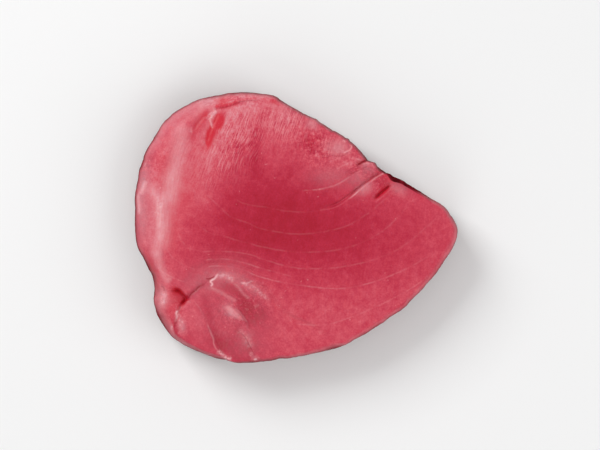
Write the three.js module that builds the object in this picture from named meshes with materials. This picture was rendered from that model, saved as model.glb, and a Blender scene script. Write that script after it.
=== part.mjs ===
// A raw tuna steak: one thick slice cut straight across a skinned loin, lying on its lower cut face.
//
// Seen from above it is a rounded triangle, with a broad round end, a long straight flank and a blunt tip.
// The flank bulges a little and rolls over into the upper cut face in a shoulder, wide at the round end and
// narrow elsewhere. The face shows where the muscle has parted: a deep gap near the round end, the crack that
// leads out of it, the seam that bounds the lower lobe, and a lifted flake beside the straight flank.
//
// Frame: millimetres, +Z up. The origin is on the resting plane, under the middle of the slice's length and
// width. +X points to the blunt tip and +Y to the straight flank.

import * as THREE from "three";

// Driving dimensions
const LENGTH = 129; // along X
const WIDTH = 108; // along Y
const THICKNESS = 21; // before the face's swells and hollows
const WAIST = 8; // height at which the flank stands out furthest
const FOOT_INSET = 3.5; // how far the flank tucks in below its waist

// Mesh density
const GRID = 54; // squares along a side of the face's grid
const SHOULDER_RINGS = 6;
const FOOT_RINGS = 4;
const COLUMNS = 4 * GRID; // points in a ring
const SEAM_PIECES = 6; // straight pieces between two points of a seam
const SEAM_PULL = { share: 0.6, reach: 4 }; // a point near a seam moves to it by this share of its distance
const GAP_PULL = { share: 0.45, reach: 15 }; // and a point near the gap towards GAP_MIDDLE
const GAP_MIDDLE = new THREE.Vector2(-45, -28);

// The rim at its widest, anticlockwise from below the tip. Each point is x, y and the shoulder's width there.
const RIM = [
  [50, -25.4, 2.8], [60.5, -11.6, 3], [64.4, -0.6, 3], [59.4, 8, 2.4], // the blunt tip
  [48.1, 15.1, 1.8], [33.2, 24, 1.6], [22.9, 33.4, 1.6], // the straight flank
  [13.1, 40.1, 1.8], [-2.6, 49.1, 2],
  [-9.6, 52.9, 2.6], [-24, 54.2, 4.5], [-37.6, 51.8, 7.5], [-50.2, 44.8, 9], // the upper corner
  [-58.5, 33.6, 10], [-63.2, 20, 11.5], [-64.6, 3, 12], [-63, -8.4, 10], // the round end
  [-58.6, -16.9, 4.5], [-56.8, -23, 3], [-57, -29.5, 3], // the dent where the gap comes near
  [-53.9, -38.3, 2.2], [-45.9, -46.5, 1.6], [-35.6, -51.4, 1.5], [-24, -53.8, 1.5], // the lobe
  [-12.7, -53.7, 2], [3.2, -51.4, 2.4], [20, -46.8, 2.6], [37.6, -36.2, 2.6], // the lower flank
];

// The flank's slow unevenness: how many waves go round the rim, their height and where they start.
const RIM_WAVES = [
  { turns: 11, height: 0.16, start: 0.4 },
  { turns: 23, height: 0.1, start: 2.1 },
  { turns: 37, height: 0.07, start: 4.4 },
];

// Seams where the muscle has parted, each along a smooth line of x, y points. depth and halfWidth are the
// furrow's. step raises (+) or lowers (-) the flesh to the right of the line's direction, fading over reach.
const SEAMS = [
  { // the hooked gap: its inner side slopes up again as a cushion
    depth: 1.6, halfWidth: 0.9, step: -3, reach: 5,
    points: [
      [-49.4, -25.6], [-47.8, -24.5], [-46.2, -24.9], [-44.6, -26.5], [-43.2, -28.4], [-44.5, -30.3],
      [-46.2, -33],
    ],
  },
  { // the ragged seam from the gap to the rim
    depth: 0.9, halfWidth: 0.9, step: 0, reach: 1,
    points: [[-45.2, -30.8], [-46.3, -33.4], [-47.2, -36.6], [-48.2, -40], [-49.4, -44]],
  },
  { // the crack out of the gap
    depth: 0.5, halfWidth: 0.7, step: 0, reach: 1,
    points: [[-43.8, -29], [-42.3, -27.7], [-41, -26], [-39.6, -25], [-38.6, -23.8], [-37.2, -22.9]],
  },
  { // the edge of the lower lobe
    depth: 0.5, halfWidth: 1.2, step: -0.8, reach: 7,
    points: [[-34.6, -21.4], [-29.2, -18.8], [-24, -20.6], [-13, -24], [-4, -34], [6, -39], [24, -50]],
  },
  { // the cleft down the lower lobe
    depth: 0.5, halfWidth: 1, step: 0.5, reach: 5,
    points: [[-41.2, -28.6], [-35.6, -35], [-32.4, -43], [-29, -50], [-26, -56]],
  },
  { // the lifted flake beside the straight flank
    depth: 0.8, halfWidth: 0.8, step: 0.9, reach: 6,
    points: [[8, 7.4], [15.6, 9], [22.8, 14], [28.6, 18.6], [33.4, 21.6], [38, 24]],
  },
  { // the hole under that flake
    depth: 1.8, halfWidth: 1, step: 0.5, reach: 4,
    points: [[30.4, 10.6], [32.6, 12.8], [34.4, 14.4], [35.8, 15.6], [38, 17.4]],
  },
  { // the bite that it leaves in the rim
    depth: 1.4, halfWidth: 0.9, step: 0, reach: 1,
    points: [[23.6, 24.4], [26, 25.8], [28.4, 26.9], [31, 28.4]],
  },
];

// Share of a seam's length over which it fades at each end.
const SEAM_FADE = 0.22;

// Broad swells (+) and hollows (-) of the face: centre, radii and height.
const SWELLS = [
  { x: -12, y: 4, rx: 36, ry: 26, height: -0.8 },
  { x: -26, y: 32, rx: 24, ry: 12, height: 0.6 },
  { x: 40, y: -10, rx: 20, ry: 16, height: 0.5 },
  { x: -53.5, y: -29, rx: 4.5, ry: 7, height: 0.8 }, // between the gap and the rim
  { x: -40, y: -39, rx: 5, ry: 9, height: 0.8 }, // strips of the lower lobe
  { x: -24.4, y: -34.4, rx: 5.5, ry: 4.5, height: 0.6 },
  { x: -26.8, y: -24, rx: 4.5, ry: 2.6, height: -0.6 }, // hollows between them
  { x: -18.4, y: -34, rx: 3.4, ry: 6, height: -0.7 },
];

const rimCurve = new THREE.CatmullRomCurve3(RIM.map((point) => new THREE.Vector3(...point)), true);
rimCurve.arcLengthDivisions = 2000;

const seams = SEAMS.map((seam) => {
  const curve = new THREE.SplineCurve(seam.points.map((point) => new THREE.Vector2(...point)));
  return { ...seam, line: curve.getPoints(SEAM_PIECES * (seam.points.length - 1)) };
});

// The place that lies inset from the rim by a share of the shoulder's width and by so many millimetres more.
function insideRim(turn, shoulderShare, millimetres) {
  const point = rimCurve.getPointAt(turn);
  const tangent = rimCurve.getTangentAt(turn).setZ(0).normalize();
  const inward = new THREE.Vector2(-tangent.y, tangent.x);
  const angle = 2 * Math.PI * turn;
  const waves = RIM_WAVES.map(({ turns, height, start }) => height * Math.sin(turns * angle + start));
  const inset = shoulderShare * point.z + millimetres + waves.reduce((sum, wave) => sum + wave, 0);
  return inward.multiplyScalar(inset).add(point);
}

// The nearest place of a seam's line: the place itself, how far off it is, the same with a minus sign for a
// point to the left of the line, and the share of the line's length at which it is.
function nearestOnLine(line, point) {
  let best = { distance: Infinity };
  for (let piece = 0; piece < line.length - 1; piece++) {
    const along = line[piece + 1].clone().sub(line[piece]);
    const offset = point.clone().sub(line[piece]);
    const share = THREE.MathUtils.clamp(offset.dot(along) / along.lengthSq(), 0, 1);
    const place = line[piece].clone().addScaledVector(along, share);
    const distance = place.distanceTo(point);
    if (distance < best.distance) {
      const signed = along.cross(offset) < 0 ? distance : -distance;
      best = { place, distance, signed, share: (piece + share) / (line.length - 1) };
    }
  }
  return best;
}

// Height that a seam adds: a furrow of bell section along its line, and the step on the line's right.
function seamRelief({ line, depth, halfWidth, step, reach }, point) {
  const { distance, signed, share } = nearestOnLine(line, point);
  const fade = THREE.MathUtils.smoothstep(Math.min(share, 1 - share), 0, SEAM_FADE);
  const furrow = depth * Math.exp(-((distance / halfWidth) ** 2));
  const side = THREE.MathUtils.smoothstep(signed, -halfWidth, halfWidth);
  return fade * (step * side * Math.exp(-distance / reach) - furrow);
}

function swellRelief({ x, y, rx, ry, height }, point) {
  return height * Math.exp(-(((point.x - x) / rx) ** 2) - ((point.y - y) / ry) ** 2);
}

// Height of the cut face.
function faceHeight(point) {
  const swells = SWELLS.reduce((sum, swell) => sum + swellRelief(swell, point), 0);
  return seams.reduce((sum, seam) => sum + seamRelief(seam, point), THICKNESS + swells);
}

function pullTowards(place, { share, reach }, amount, point) {
  return point.lerp(place, amount * share * Math.exp(-((point.distanceTo(place) / reach) ** 2)));
}

// Draws a point of the upper side towards the gap and the nearest seam, so that the mesh is finer there.
// amount runs from 0 at the rim to 1 on the face.
function gather(point, amount) {
  pullTowards(GAP_MIDDLE, GAP_PULL, amount, point);
  const nearest = seams.map(({ line }) => nearestOnLine(line, point));
  nearest.sort((a, b) => a.distance - b.distance);
  return pullTowards(nearest[0].place, SEAM_PULL, amount, point);
}

// A point of a square from -1 to 1, as the point of a disc: its radius, and its share of a turn from the
// corner (1, -1).
function squareToDisc(u, v) {
  const radius = Math.max(Math.abs(u), Math.abs(v));
  if (radius === 0) return { radius, turn: 0 };
  const a = u / radius;
  const b = v / radius;
  if (a === 1) return { radius, turn: (1 + b) / 8 };
  if (b === 1) return { radius, turn: (3 - a) / 8 };
  if (a === -1) return { radius, turn: (5 - b) / 8 };
  return { radius, turn: (7 + a) / 8 };
}

// The grid's vertex that a ring's column meets, counting from the corner (1, -1).
function edgeVertex(column) {
  const step = column % GRID;
  const [i, j] = [[GRID, step], [GRID - step, GRID], [0, GRID - step], [step, 0]][Math.floor(column / GRID)];
  return i * (GRID + 1) + j;
}

// Splits a square into two triangles along its shorter diagonal.
function splitSquare(vertices, [a, b, c, d]) {
  const [atA, atB, atC, atD] = [a, b, c, d].map((vertex) => new THREE.Vector3(...vertices[vertex]));
  return atA.distanceTo(atC) < atB.distanceTo(atD) ? [[a, b, c], [a, c, d]] : [[a, b, d], [b, c, d]];
}

// The face: a grid whose squares run in rings, from the slice's middle to the shoulder's inner edge.
function addFace(vertices, triangles) {
  const middle = new THREE.Vector2();
  for (let i = 0; i <= GRID; i++) {
    for (let j = 0; j <= GRID; j++) {
      const { radius, turn } = squareToDisc((2 * i) / GRID - 1, (2 * j) / GRID - 1);
      const point = gather(middle.clone().lerp(insideRim(turn, 1, 0), radius), 1);
      vertices.push([point.x, point.y, faceHeight(point)]);
    }
  }
  for (let i = 0; i < GRID; i++) {
    for (let j = 0; j < GRID; j++) {
      const first = i * (GRID + 1) + j;
      triangles.push(...splitSquare(vertices, [first, first + GRID + 1, first + GRID + 2, first + 1]));
    }
  }
}

// Joins a ring of vertices to the next one below it.
function joinRings(upper, lower, triangles) {
  for (let column = 0; column < COLUMNS; column++) {
    const next = (column + 1) % COLUMNS;
    triangles.push([upper[column], lower[column], lower[next]], [upper[column], lower[next], upper[next]]);
  }
}

// Adds a ring of vertices, one for each column, and returns their numbers.
function addRing(vertices, vertexOf) {
  return Array.from({ length: COLUMNS }, (_, column) => vertices.push(vertexOf(column / COLUMNS)) - 1);
}

// The shoulder, a quarter of an ellipse down from the face's edge to the rim. Returns its lowest ring.
function addShoulder(vertices, triangles) {
  let upper = Array.from({ length: COLUMNS }, (_, column) => edgeVertex(column));
  for (let ring = 1; ring <= SHOULDER_RINGS; ring++) {
    const angle = (Math.PI / 2) * (1 - ring / SHOULDER_RINGS);
    const lower = addRing(vertices, (turn) => {
      const point = gather(insideRim(turn, 1 - Math.cos(angle), 0), Math.sin(angle));
      return [point.x, point.y, WAIST + (faceHeight(point) - WAIST) * Math.sin(angle)];
    });
    joinRings(upper, lower, triangles);
    upper = lower;
  }
  return upper;
}

// The foot, a quarter of an ellipse down from the rim to the resting face. Returns its lowest ring.
function addFoot(vertices, triangles, rim) {
  let upper = rim;
  for (let ring = 1; ring <= FOOT_RINGS; ring++) {
    const angle = ((Math.PI / 2) * ring) / FOOT_RINGS;
    const lower = addRing(vertices, (turn) => {
      const point = insideRim(turn, 0, FOOT_INSET * (1 - Math.cos(angle)));
      return [point.x, point.y, ring === FOOT_RINGS ? 0 : WAIST * (1 - Math.sin(angle))];
    });
    joinRings(upper, lower, triangles);
    upper = lower;
  }
  return upper;
}

// The flat resting face inside the foot's lowest ring.
function addBase(vertices, triangles, ring) {
  const outline = ring.map((vertex) => new THREE.Vector2(...vertices[vertex]));
  const faces = THREE.ShapeUtils.triangulateShape(outline, []);
  triangles.push(...faces.map(([a, b, c]) => [ring[c], ring[b], ring[a]]));
}

// Fits the slice to its length and width, and puts the origin under its middle.
function fitToSize(geometry) {
  geometry.computeBoundingBox();
  const size = geometry.boundingBox.getSize(new THREE.Vector3());
  geometry.scale(LENGTH / size.x, WIDTH / size.y, 1);
  geometry.computeBoundingBox();
  const centre = geometry.boundingBox.getCenter(new THREE.Vector3());
  geometry.translate(-centre.x, -centre.y, 0);
}

function steakGeometry() {
  const vertices = [];
  const triangles = [];
  addFace(vertices, triangles);
  const rim = addShoulder(vertices, triangles);
  const foot = addFoot(vertices, triangles, rim);
  addBase(vertices, triangles, foot);
  const geometry = new THREE.BufferGeometry();
  geometry.setAttribute("position", new THREE.Float32BufferAttribute(vertices.flat(), 3));
  geometry.setIndex(triangles.flat());
  fitToSize(geometry);
  geometry.computeVertexNormals();
  return geometry;
}

const rawTuna = new THREE.MeshStandardMaterial({ color: 0xc94a5c, roughness: 0.4, metalness: 0 });

const steak = new THREE.Mesh(steakGeometry(), rawTuna);
steak.name = "steak";

const part = new THREE.Group();
part.add(steak);

export default part;
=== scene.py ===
# %% [markdown]
# # A raw tuna steak
#
# This lesson dresses one thick slice of raw tuna loin. The slice is a single soft solid, so one piece is
# made: its skin, with the cut face on top, the flank round it and the cut face below. Most of the work lies
# in the relief of the cut face and in one careful material.

import bpy
import numpy as np
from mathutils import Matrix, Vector


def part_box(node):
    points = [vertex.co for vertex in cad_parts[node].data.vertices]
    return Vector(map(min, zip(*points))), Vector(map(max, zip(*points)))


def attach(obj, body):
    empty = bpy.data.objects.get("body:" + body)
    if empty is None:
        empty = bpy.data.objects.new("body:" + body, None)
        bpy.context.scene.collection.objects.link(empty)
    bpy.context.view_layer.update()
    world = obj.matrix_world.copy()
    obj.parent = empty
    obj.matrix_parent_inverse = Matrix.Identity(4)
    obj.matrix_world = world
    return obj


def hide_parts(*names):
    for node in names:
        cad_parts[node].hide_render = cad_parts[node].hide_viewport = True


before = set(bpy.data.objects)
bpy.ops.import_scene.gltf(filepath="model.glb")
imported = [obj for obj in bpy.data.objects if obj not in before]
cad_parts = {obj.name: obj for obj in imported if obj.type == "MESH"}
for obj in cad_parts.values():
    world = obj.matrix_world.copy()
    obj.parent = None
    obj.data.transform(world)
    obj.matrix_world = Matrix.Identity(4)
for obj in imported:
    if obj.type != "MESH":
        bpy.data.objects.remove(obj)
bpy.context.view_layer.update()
MM = 0.001
steak_low, steak_high = [np.array(corner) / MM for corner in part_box("steak")]
print("the solid steak measures, in mm:", np.round(steak_high - steak_low, 1))

# %% [markdown]
# ## The outline
#
# A loin is cut across, so the slice has the outline of the loin's section: a rounded triangle. It could be
# drawn as a Bezier curve, but the surface needs it as numbers, with its inward direction at every place. So
# it is a Catmull-Rom spline through a few points, each with the width of the shoulder there, the soft edge
# between the flank and the cut face.

# %% Lines through a few points
def smooth_line(points, steps, power=0.0, closed=False):
    """Catmull-Rom spline: between two points runs a cubic whose slopes at both ends follow the neighbours.
    power 0.5 spaces the knots by the square root of the distance between points, which avoids loops."""
    points = np.asarray(points, float)
    if closed:
        before, start, end, after = [np.roll(points, shift, axis=0) for shift in (1, 0, -1, -2)]
    else:
        ended = np.vstack([points[:1], points, points[-1:]])
        before, start, end, after = ended[:-3], ended[1:-2], ended[2:-1], ended[3:]
    gap0, gap1, gap2 = [
        np.linalg.norm(b - a, axis=1, keepdims=True) ** power
        for a, b in ((before, start), (start, end), (end, after))
    ]
    slope1 = (start - before) / gap0 - (end - before) / (gap0 + gap1) + (end - start) / gap1
    slope2 = (end - start) / gap1 - (after - start) / (gap1 + gap2) + (after - end) / gap2
    slope1, slope2 = slope1 * gap1, slope2 * gap1
    t = np.linspace(0, 1, steps, endpoint=False)[:, None, None]
    curve = (
        start + slope1 * t
        + (3 * (end - start) - 2 * slope1 - slope2) * t**2
        + (2 * (start - end) + slope1 + slope2) * t**3
    )
    curve = curve.transpose(1, 0, 2).reshape(-1, points.shape[1])
    return np.vstack([curve, curve[:1] if closed else points[-1:]])


# %% The rim, as x, y and the shoulder's width in millimetres, anticlockwise from below the tip
RIM = [
    (50, -25.4, 2.8), (60.5, -11.6, 3), (64.4, -0.6, 3), (59.4, 8, 2.4),  # the blunt tip
    (48.1, 15.1, 1.8), (33.2, 24, 1.6), (22.9, 33.4, 1.6),  # the straight flank
    (13.1, 40.1, 1.8), (-2.6, 49.1, 2),
    (-9.6, 52.9, 2.6), (-24, 54.2, 4.5), (-37.6, 51.8, 7.5), (-50.2, 44.8, 9),  # the upper corner
    (-58.5, 33.6, 10), (-63.2, 20, 11.5), (-64.6, 3, 12), (-63, -8.4, 10),  # the round end
    (-58.6, -16.9, 4.5), (-56.8, -23, 3), (-57, -29.5, 3),  # the dent
    (-53.9, -38.3, 2.2), (-45.9, -46.5, 1.6), (-35.6, -51.4, 1.5), (-24, -53.8, 1.5),  # the lobe
    (-12.7, -53.7, 2), (3.2, -51.4, 2.4), (20, -46.8, 2.6), (37.6, -36.2, 2.6),  # the lower flank
]
RIM_STEPS = 80  # straight pieces between two of these points

rim_line = smooth_line(RIM, RIM_STEPS, power=0.5, closed=True)
rim_lengths = np.linalg.norm(np.diff(rim_line, axis=0), axis=1)
rim_turns = np.concatenate([[0], np.cumsum(rim_lengths)]) / rim_lengths.sum()
print("the rim is", round(rim_lengths.sum()), "mm long")


# %% [markdown]
# ## A ragged edge
#
# A knife doesn't leave a flank of soft flesh quite smooth: it steps where a layer ends, and single fibres
# stand out. Slow waves, soft noise and a few nicks and tabs, all measured inward from the rim, give that.
# It could be a displacement, but the rim has to move as a whole, or the flank would fold.

# %% Hills and soft noise
def smoothstep(value, low, high):
    """0 below low, 1 above high, and a soft S between them."""
    t = np.clip((value - low) / (high - low), 0, 1)
    return t * t * (3 - 2 * t)


def hump(distance, radius):
    """e to the minus squared distance, measured in radii: 1 at distance 0, and soon nothing."""
    return np.exp(-((distance / radius) ** 2))


def bell(points, x, y, radius_x, radius_y, lean=0.0):
    """A hill of height 1, whose two sections are humps. lean turns it, in degrees."""
    turn = np.radians(lean)
    dx, dy = points[:, 0] - x, points[:, 1] - y
    across = dx * np.cos(turn) + dy * np.sin(turn)
    along = dy * np.cos(turn) - dx * np.sin(turn)
    return hump(across, radius_x) * hump(along, radius_y)


LATTICE = 256  # random heights in a row of the noise, with the plan's origin in their middle


def soft_noise(points, size, seed):
    """Value noise: random heights on a square lattice, size millimetres apart, blended by an S curve."""
    lattice = np.random.default_rng(seed).uniform(-1, 1, (LATTICE, LATTICE))
    cell = points / size + LATTICE // 2
    corner = np.floor(cell).astype(int)
    tx, ty = (smoothstep(cell - corner, 0, 1)).T
    x, y = corner.T
    low = lattice[x, y] * (1 - tx) + lattice[x + 1, y] * tx
    high = lattice[x, y + 1] * (1 - tx) + lattice[x + 1, y + 1] * tx
    return low * (1 - ty) + high * ty


def layered_noise(points, layers):
    """The sum of several soft noises, each given by its size, height and seed."""
    return sum(height * soft_noise(points, size, seed) for size, height, seed in layers)


# %% Places along the rim and inside it
RIM_WAVES = [(11, 0.16, 0.4), (23, 0.1, 2.1), (37, 0.07, 4.4)]  # waves in a turn, height and start
RIM_NOISE = [(3.3, 0.15, 21), (1.3, 0.09, 22)]
RIM_NICKS = [  # x, y, radius, and how far in (or, with a minus sign, out) the rim goes
    (28.8, 27, 1.1, 0.5), (20.6, 35, 0.7, -0.4), (31.4, 25, 0.7, -0.5), (-6.6, 50.8, 0.7, 0.4),
    (-9.4, 52, 0.6, -0.3), (3, 45.4, 0.7, 0.3), (-57, -18.6, 1.4, 0.2), (-28, -53.2, 0.8, 0.2),
    (41.5, 19, 4, -0.4), (36, 22, 1, 0.2), (8, 43, 0.8, -0.25), (14.6, 39, 0.7, 0.25),
    (-40, -49.4, 0.9, -0.2),
]
AHEAD = 1e-4  # the share of a turn between a place and its neighbours, which give the rim's direction


def on_rim(turn):
    """The rim's x, y and shoulder width at a share of the way round."""
    return np.stack([np.interp(turn % 1, rim_turns, column) for column in rim_line.T], axis=-1)


def inside_rim(turn, shoulder_share, millimetres):
    """The place reached from the rim by going inward at a right angle: a share of the shoulder's width, plus
    so many millimetres, plus the waves, the nicks and the noise."""
    point = on_rim(turn)
    ahead = (on_rim(turn + AHEAD) - on_rim(turn - AHEAD))[:, :2]
    ahead /= np.linalg.norm(ahead, axis=1, keepdims=True)
    inward = np.stack([-ahead[:, 1], ahead[:, 0]], axis=1)
    waves = sum(height * np.sin(2 * np.pi * turns * turn + start) for turns, height, start in RIM_WAVES)
    nicks = sum(depth * bell(point, x, y, radius, radius) for x, y, radius, depth in RIM_NICKS)
    ragged = waves + nicks + layered_noise(point[:, :2], RIM_NOISE)
    inset = shoulder_share * point[:, 2] + millimetres + ragged
    return point[:, :2] + inset[:, None] * inward


# %% [markdown]
# ## Where the muscle has parted
#
# Fish muscle is built of nested layers with thin sheets of connective tissue between them. Where a sheet
# has let go, the face shows a furrow, and one side often stands a little higher. Such a seam could be
# sculpted by hand, but a formula keeps it clean: the height falls off with the distance from a line through
# a few points, and the step is added on one side only.

# %% Distance from a line
def near_line(line, points, margin=30.0):
    """For each point: the nearest place of a chain of straight pieces, how far off it is, the same with a
    minus sign to the left of the line, and the share of the chain at which it is. Points outside the line's
    box, widened by the margin, are skipped and count as infinitely far."""
    within = np.flatnonzero(np.all((points > line.min(0) - margin) & (points < line.max(0) + margin), axis=1))
    near = points[within]
    columns = np.full((len(points), 5), [0, 0, np.inf, np.inf, 0])  # place x, y, distance, signed, share
    columns[:, :2] = points
    for piece, (start, end) in enumerate(zip(line[:-1], line[1:])):
        along, offset = end - start, near - start
        t = np.clip(offset @ along / (along @ along), 0, 1)
        foot = start + t[:, None] * along
        away = np.linalg.norm(near - foot, axis=1)
        turned = along[0] * offset[:, 1] - along[1] * offset[:, 0]
        signed = np.where(turned < 0, away, -away)
        found = np.column_stack([foot, away, signed, (piece + t) / (len(line) - 1)])
        nearer = away < columns[within, 2]
        columns[within[nearer]] = found[nearer]
    return columns[:, :2], *columns[:, 2:].T


def faded_ends(share, length):
    """1 along a line and 0 at its ends. Each end takes up such a length, as a share of the line."""
    return smoothstep(np.minimum(share, 1 - share), 0, length)


# %% The seams: depth and half width of the furrow, step on the right of the line, its reach, and the line
SEAMS = {
    "gap": (1.5, 0.75, -3, 5,
            [(-49.4, -25.6), (-47.8, -24.5), (-46.2, -24.9), (-44.6, -26.5), (-43.2, -28.4), (-44.5, -30.3),
             (-46.2, -33)]),
    "ragged": (0.9, 0.8, 0, 1, [(-45.2, -30.8), (-46.3, -33.4), (-47.2, -36.6), (-48.2, -40), (-49.4, -44)]),
    "crack": (0.4, 0.55, 0, 1,
              [(-43.8, -29), (-42.3, -27.7), (-41, -26), (-39.6, -25), (-38.6, -23.8), (-37.2, -22.9)]),
    "lobe": (0.5, 1.2, -0.8, 7,
             [(-34.6, -21.4), (-29.2, -18.8), (-24, -20.6), (-13, -24), (-4, -34), (6, -39), (24, -50)]),
    "cleft": (0.5, 1, 0.5, 5, [(-41.2, -28.6), (-35.6, -35), (-32.4, -43), (-29, -50), (-26, -56)]),
    "flake": (0.8, 0.7, 0.9, 6, [(8, 7.4), (15.6, 9), (22.8, 14), (28.6, 18.6), (33.4, 21.6), (38, 24)]),
    "hole": (1.8, 0.9, 0.5, 4, [(30.4, 10.6), (32.6, 12.8), (34.4, 14.4), (35.8, 15.6), (38, 17.4)]),
    "bite": (1.4, 0.8, 0, 1, [(23.6, 24.4), (26, 25.8), (28.4, 26.9), (31, 28.4)]),
}
SEAM_FADE = 0.22  # the share of a seam that each of its ends takes up
SEAM_STEPS = 6  # straight pieces between two points of a line
seam_lines = [smooth_line(places, SEAM_STEPS) for *_, places in SEAMS.values()]
print("seams:", list(SEAMS))


def parting(points, depth, half_width, step, reach, places, margin=30.0):
    """The step on the right of a seam, which fades away from the line, and the furrow along the line, whose
    section is a hump. Both end softly with the line."""
    _, distance, signed, share = near_line(smooth_line(places, SEAM_STEPS), points, margin)
    ends = faded_ends(share, SEAM_FADE)
    side = smoothstep(signed, -half_width, half_width) * np.exp(-distance / reach)
    return ends * step * side, ends * depth * hump(distance, half_width)


# %% [markdown]
# ## Finer relief
#
# Between the big seams bundles of fibres stand up as low ridges, thin sheets show as hairline grooves, and
# torn tissue curls up along the edge of the lobe. Bump in the material could fake this, but real height
# also casts shadows and shows in the mesh itself.

# %% The height of the cut face
THICKNESS = 21
SWELLS = [  # height, x, y, radius in x, radius in y
    (-0.8, -12, 4, 36, 26), (0.6, -26, 32, 24, 12), (0.5, 40, -10, 20, 16), (0.8, -53.5, -29, 4.5, 7),
    (0.8, -40, -39, 5, 9), (0.6, -24.4, -34.4, 5.5, 4.5), (-0.6, -26.8, -24, 4.5, 2.6),
    (-0.7, -18.4, -34, 3.4, 6),
]
FINE_SEAMS = [  # depth (with a minus sign, height), half width, step on the right, and the line
    (0.25, 0.5, 0.3, [(-2, 15.4), (8, 15), (13.6, 16.2), (19.6, 19), (24.8, 22.6), (28.6, 26)]),
    (0.3, 0.5, -0.5, [(-34, 46.6), (-31.6, 47.2), (-26.4, 48.1), (-21.2, 50), (-15, 50.8)]),
    (0.3, 0.6, -0.6, [(-32, 47.2), (-34.2, 45), (-36.4, 43.6), (-38.4, 41.2), (-41, 37)]),
    (0.3, 0.6, 0.2, [(-36.4, -25.4), (-33.2, -30.2), (-25.2, -38.2), (-18.8, -47), (-15, -55)]),
    (0.5, 0.5, 0.7, [(-23.8, -28.4), (-22.9, -31.4), (-21, -35), (-19.3, -37.6), (-19, -41)]),
    (0.4, 0.5, -0.4, [(-22, -41), (-20, -43.8), (-18.4, -47), (-17, -51)]),
    (0.35, 0.5, -0.5, [(-24.4, -22), (-22.2, -24), (-20.4, -26), (-18, -29)]),
    (0.3, 0.5, -0.4, [(-34.6, -23.6), (-31.4, -24.9), (-28.2, -26.7), (-23, -29.8)]),
    (-0.5, 0.9, 0, [(-33.4, -22.4), (-32.6, -20.4), (-30, -19.2), (-25.6, -20.6), (-20.4, -22.2),
        (-13.2, -25.8)]),
    (-0.4, 0.6, 0, [(-46.6, -32.4), (-47.3, -35.4), (-48.6, -39)]),
    (-0.35, 0.6, 0, [(-43, -29.4), (-44.4, -30.7), (-45.6, -32.4)]),
    (0.3, 0.6, -0.3, [(-30.6, 47), (-31.6, 43), (-33.4, 39), (-35, 34), (-37, 29)]),
]
FINE_REACH = 3  # the steps fade over this many millimetres
FINE_NOISE = [(11, 0.18, 1), (4.5, 0.1, 2), (1.8, 0.05, 3)]
FINE_DEPTH = 0.75  # the share of its depth that a fine furrow has on average
FINE_UNEVEN = [(1.6, 0.5, 9)]


def face_height(points):
    """Height of the upper cut face: the slice's thickness, the swells, the seams, soft noise in three sizes,
    and the fine seams, whose depth is uneven."""
    height = THICKNESS + sum(swell * bell(points, *hill) for swell, *hill in SWELLS)
    for seam in SEAMS.values():
        step, furrow = parting(points, *seam)
        height += step - furrow
    height += layered_noise(points, FINE_NOISE)
    uneven = FINE_DEPTH + layered_noise(points, FINE_UNEVEN)
    for *shape, places in FINE_SEAMS:
        step, furrow = parting(points, *shape, FINE_REACH, places, margin=4 * FINE_REACH)
        height += step - uneven * furrow
    return height


# %% [markdown]
# ## The surface
#
# The skin of the slice is one closed surface: the upper face, the shoulder, the foot and the lower face. A
# round grid would crowd its vertices at a pole in the middle, so each face is a square grid bent into the
# outline: square rings become rings of the outline's shape. The shoulder and the foot are quarter ellipses
# carried round the rim. Near the seams the grid is drawn together, which keeps the furrows crisp. The lower
# face is plain, so its grid is half as fine.

# %% The grid of a face
GRID = 240  # squares along a side of the upper face's grid
LOWER_GRID = GRID // 2
SEAM_PULL = (0.6, 4)  # share of its distance by which a point moves to the nearest seam, and the reach
GAP_PULL = (0.45, 15)  # the same towards the middle of the gap
GAP_MIDDLE = np.array([-45.0, -28.0])
TINY = 1e-9


def square_to_disc(grid):
    """Each grid point of a square from -1 to 1 as a radius, the larger of its two coordinates, and a share
    of a turn, its way along that ring from the corner (1, -1)."""
    u, v = np.meshgrid(np.linspace(-1, 1, grid + 1), np.linspace(-1, 1, grid + 1), indexing="ij")
    radius = np.maximum(abs(u), abs(v))
    a, b = u / np.maximum(radius, TINY), v / np.maximum(radius, TINY)
    sides = [a >= 1 - TINY, b >= 1 - TINY, a <= -1 + TINY, b <= -1 + TINY]
    turn = np.select(sides, [(1 + b) / 8, (3 - a) / 8, (5 - b) / 8, (7 + a) / 8], 0.0)
    return radius.ravel(), turn.ravel() % 1


def face_points(grid, shoulder_share, millimetres):
    """The face's grid: each ring is the inset outline, shrunk towards the middle by its radius."""
    radius, turn = square_to_disc(grid)
    return radius[:, None] * inside_rim(turn, shoulder_share, millimetres)


def edge_vertices(grid):
    """The grid's outermost vertices, anticlockwise from the corner (1, -1)."""
    number = np.arange((grid + 1) ** 2).reshape(grid + 1, grid + 1)
    return np.concatenate([number[-1, :-1], number[:0:-1, -1], number[0, :0:-1], number[:-1, 0]])


def gather(points, amount):
    """Draws points towards the gap, then towards the nearest seam, by a share that fades with distance."""
    def pulled(place, distance, share, reach):
        return points + (amount * share * hump(distance, reach))[:, None] * (place - points)

    points = pulled(GAP_MIDDLE, np.linalg.norm(points - GAP_MIDDLE, axis=1), *GAP_PULL)
    nearest, least = points.copy(), np.full(len(points), np.inf)
    for line in seam_lines:
        place, distance, _, _ = near_line(line, points)
        closer = distance < least
        nearest[closer], least[closer] = place[closer], distance[closer]
    return pulled(nearest, least, *SEAM_PULL)


# %% The vertices, from the upper face over the shoulder and the foot to the lower face
COLUMNS = 4 * GRID
FOOT_INSET = 3.5  # how far the lower face lies inside the rim
SHOULDER_RINGS = 18
FOOT_RINGS = 8
WAIST = 8  # height at which the flank stands out furthest
INNER = 99.0  # stands for the inset of the faces, well away from the rim


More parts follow.
